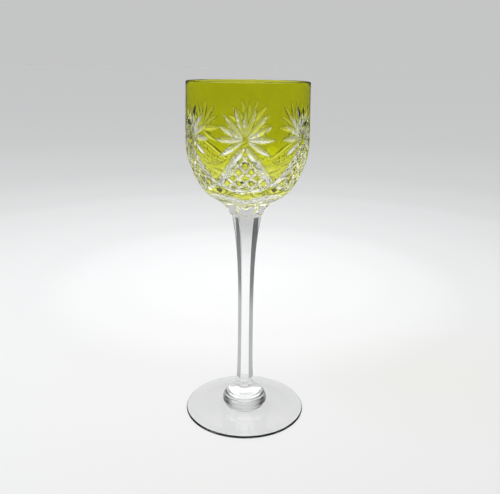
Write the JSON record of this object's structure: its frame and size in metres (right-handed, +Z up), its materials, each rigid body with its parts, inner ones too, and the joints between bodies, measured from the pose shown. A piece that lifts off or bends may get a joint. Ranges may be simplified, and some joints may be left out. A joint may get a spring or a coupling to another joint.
{
  "type": "rummer",
  "caption": "Tall wine glass with a cased bowl cut to clear in fans and hatched tents, fluted under the bowl, on a faceted stem with a button knop, collar and disc foot.",
  "frame": {"origin": "centre of the foot's underside, on the axis of the glass and level with its resting ring", "axes": "+Z up along the axis from the foot to the rim, -Y towards the viewer through the middle of one fan, +X to the viewer's right"},
  "size_m": [0.0732, 0.0732, 0.2],
  "materials": {
    "crystal": "polished clear crystal",
    "casing": "polished yellow-green overlay glass"
  },
  "bodies": {
    "root": {"foot": "crystal", "merese": "crystal", "knop": "crystal", "stem": "crystal", "bowl": "crystal", "casing_upper": "casing", "casing_tent_1": "casing", "casing_tent_2": "casing", "casing_tent_3": "casing", "casing_tent_4": "casing", "casing_tent_5": "casing", "casing_tent_6": "casing", "casing_base_band": "casing"}
  },
  "joints": []
}
